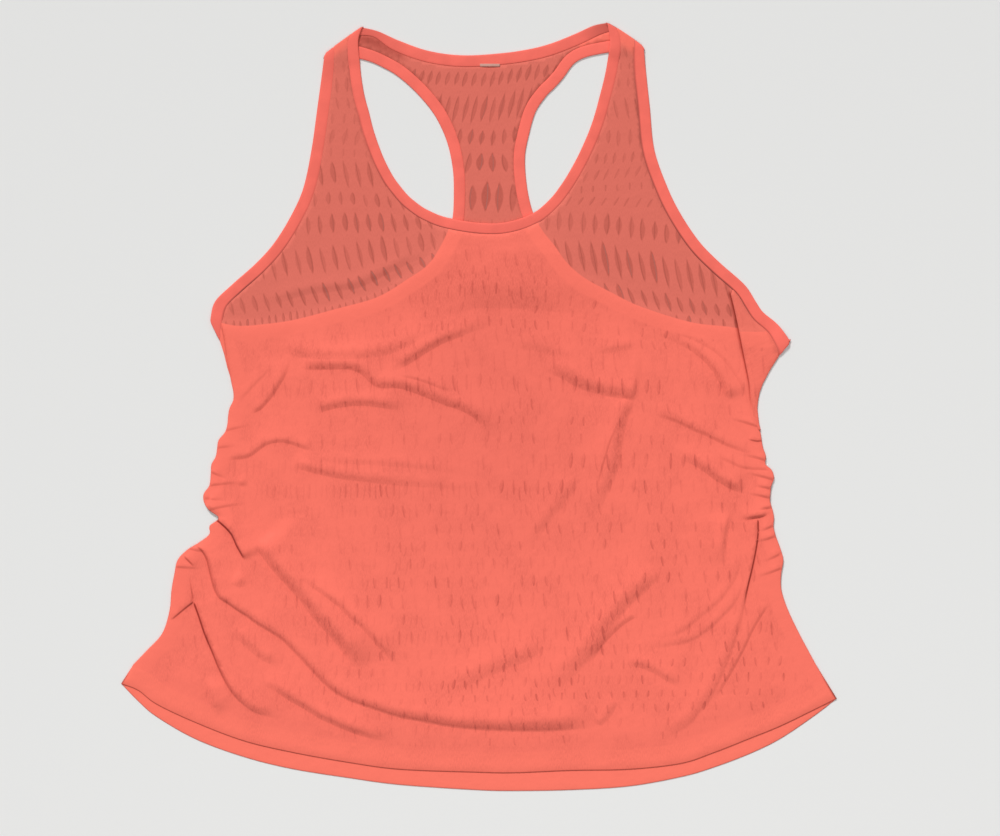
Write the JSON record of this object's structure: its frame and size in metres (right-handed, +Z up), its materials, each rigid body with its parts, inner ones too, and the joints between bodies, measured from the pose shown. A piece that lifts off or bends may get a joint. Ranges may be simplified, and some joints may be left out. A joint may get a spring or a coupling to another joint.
{
  "type": "racerback sports tank top",
  "caption": "Sleeveless racerback sports top of thin slotted jersey with bound neck and armholes and gathered sides, lying flat and face up.",
  "frame": {"origin": "bottom centre of the laid garment, on the surface it lies on", "axes": "+Z up from the surface, +Y from the hem to the neck, +X to the right of the garment seen from above"},
  "size_m": [0.626, 0.6733, 0.0083],
  "materials": {
    "jersey": "thin coral jersey with a small see-through leaf slot repeat",
    "binding": "plain coral jersey binding",
    "label": "pale woven tape"
  },
  "bodies": {
    "root": {"front_panel": "jersey", "back_panel": "jersey", "neck_binding": "binding", "armhole_binding_left": "binding", "armhole_binding_right": "binding", "neck_label": "label"}
  },
  "joints": []
}
